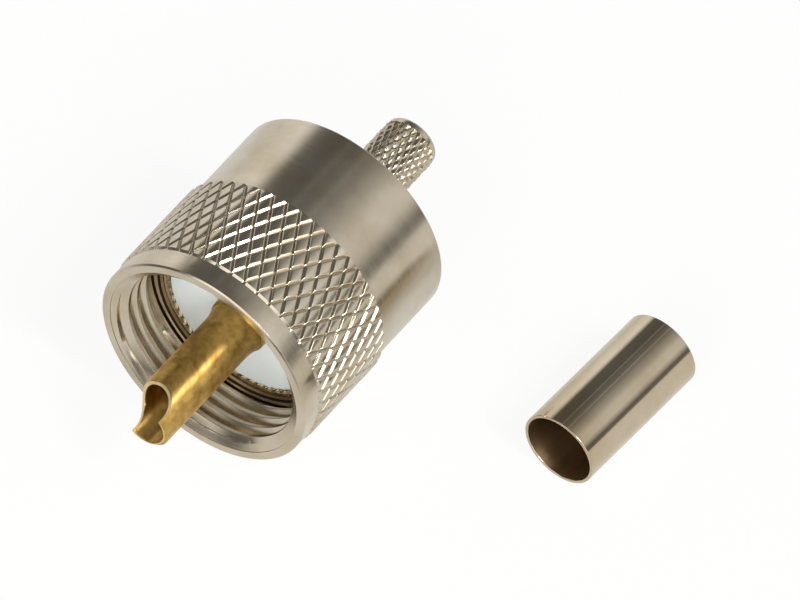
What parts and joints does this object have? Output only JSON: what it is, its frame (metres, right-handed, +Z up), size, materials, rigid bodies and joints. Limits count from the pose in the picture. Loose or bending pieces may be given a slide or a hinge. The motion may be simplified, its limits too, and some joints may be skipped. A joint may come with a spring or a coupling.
{
  "type": "uhf connector",
  "caption": "Crimp coaxial plug with a knurled, threaded coupling nut that spins on its toothed body, a hollow centre pin and a loose crimp ferrule beside it.",
  "frame": {"origin": "on the surface it lies on, under the middle of the bounding box of the plug and its ferrule", "axes": "+Y along the plug's axis towards the cable end, +Z up, the ferrule lies on the +X side"},
  "size_m": [0.0352, 0.033, 0.0182],
  "materials": {
    "nickel_plate": "nickel plated turned brass, fine turning marks",
    "polished_nickel": "nickel plated drawn tube, polished",
    "gold_plate": "thin dull gold plate",
    "ptfe": "turned PTFE, waxy and slightly translucent"
  },
  "bodies": {
    "plug": {"connector_body": "nickel_plate", "insulator": "ptfe", "center_pin": "gold_plate", "crimp_ferrule": "polished_nickel"},
    "nut": {"coupling_nut": "nickel_plate"}
  },
  "joints": [
    {"name": "nut_spin", "type": "hinge", "parent": "plug", "child": "nut", "pos_m": [-0.0085, -0.00081, 0.0091], "axis": [0, 1, 0], "continuous": true}
  ]
}
